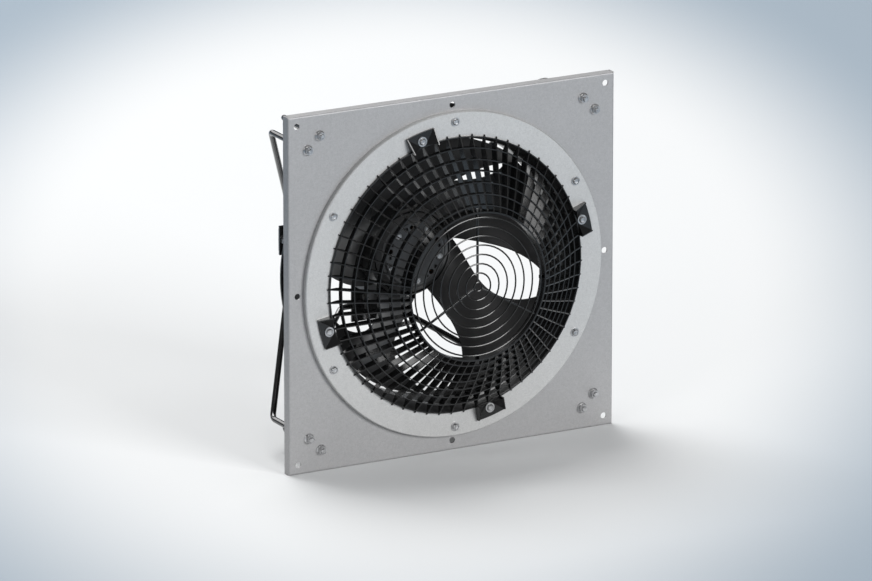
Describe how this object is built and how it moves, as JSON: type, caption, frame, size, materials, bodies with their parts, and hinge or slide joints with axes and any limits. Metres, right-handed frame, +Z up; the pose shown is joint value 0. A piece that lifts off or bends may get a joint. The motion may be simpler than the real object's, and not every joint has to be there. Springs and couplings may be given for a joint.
{
  "type": "wall plate ventilation fan",
  "caption": "Square wall-plate axial fan: domed inlet grid, sickle-bladed impeller on an external rotor motor, carried by bent rods.",
  "frame": {"origin": "fan axis in the front face of the wall plate", "axes": "+Z up, +Y along the fan axis towards the motor, +X to the right seen from the inlet side"},
  "size_m": [0.485, 0.3298, 0.485],
  "materials": {
    "galvanised_sheet": "satin zinc-coated sheet",
    "cap_sheet": "satin zinc-coated sheet, slightly warmer",
    "black_moulding": "satin black moulded plastic",
    "nozzle_plastic": "satin black",
    "blade_plastic": "satin dark grey",
    "black_steel": "glossy black powder coat",
    "fastener_steel": "bright",
    "rotor_steel": "satin black",
    "shaft_steel": "ground",
    "bearing_steel": "polished",
    "magnet": "sintered",
    "lamination": "stacked sheet",
    "copper_wire": "enamelled wire",
    "cast_aluminium": "die-cast",
    "cover_plastic": "satin black",
    "board": "lacquered board",
    "gland_plastic": "matte black",
    "seal_rubber": "matte"
  },
  "bodies": {
    "housing": {"wall_plate": "galvanised_sheet", "nozzle": "nozzle_plastic", "cap_ring": "cap_sheet", "inlet_grid": "black_moulding", "finger_guard": "black_moulding", "strut_top": "black_steel", "strut_left": "black_steel", "strut_bottom": "black_steel", "strut_right": "black_steel", "strut_nuts": "fastener_steel", "strut_washers": "fastener_steel", "motor_bracket": "black_steel", "rod_clamps": "black_steel", "clamp_screws": "fastener_steel", "clamp_nuts": "fastener_steel", "cap_washers": "fastener_steel", "cap_screws": "fastener_steel", "grid_washers": "fastener_steel", "grid_screws": "fastener_steel", "back_nuts": "fastener_steel", "motor_housing": "cast_aluminium", "circuit_board": "board", "rear_cover": "cover_plastic", "cover_screws": "fastener_steel", "cable_gland": "gland_plastic", "gland_seal": "seal_rubber", "bearing_plug": "cast_aluminium", "stator_core": "lamination", "stator_windings": "copper_wire", "front_bearing_outer": "bearing_steel", "rear_bearing_outer": "bearing_steel"},
    "impeller": {"impeller": "blade_plastic", "hub_disc": "rotor_steel", "disc_screws": "fastener_steel", "shaft": "shaft_steel", "retaining_ring": "shaft_steel", "rotor_can": "rotor_steel", "magnet_ring": "magnet", "front_bearing_inner": "bearing_steel", "rear_bearing_inner": "bearing_steel", "bearing_balls": "bearing_steel"}
  },
  "joints": [
    {"name": "impeller_spin", "type": "hinge", "parent": "housing", "child": "impeller", "pos_m": [0, 0, 0], "axis": [0, 1, 0], "continuous": true}
  ]
}
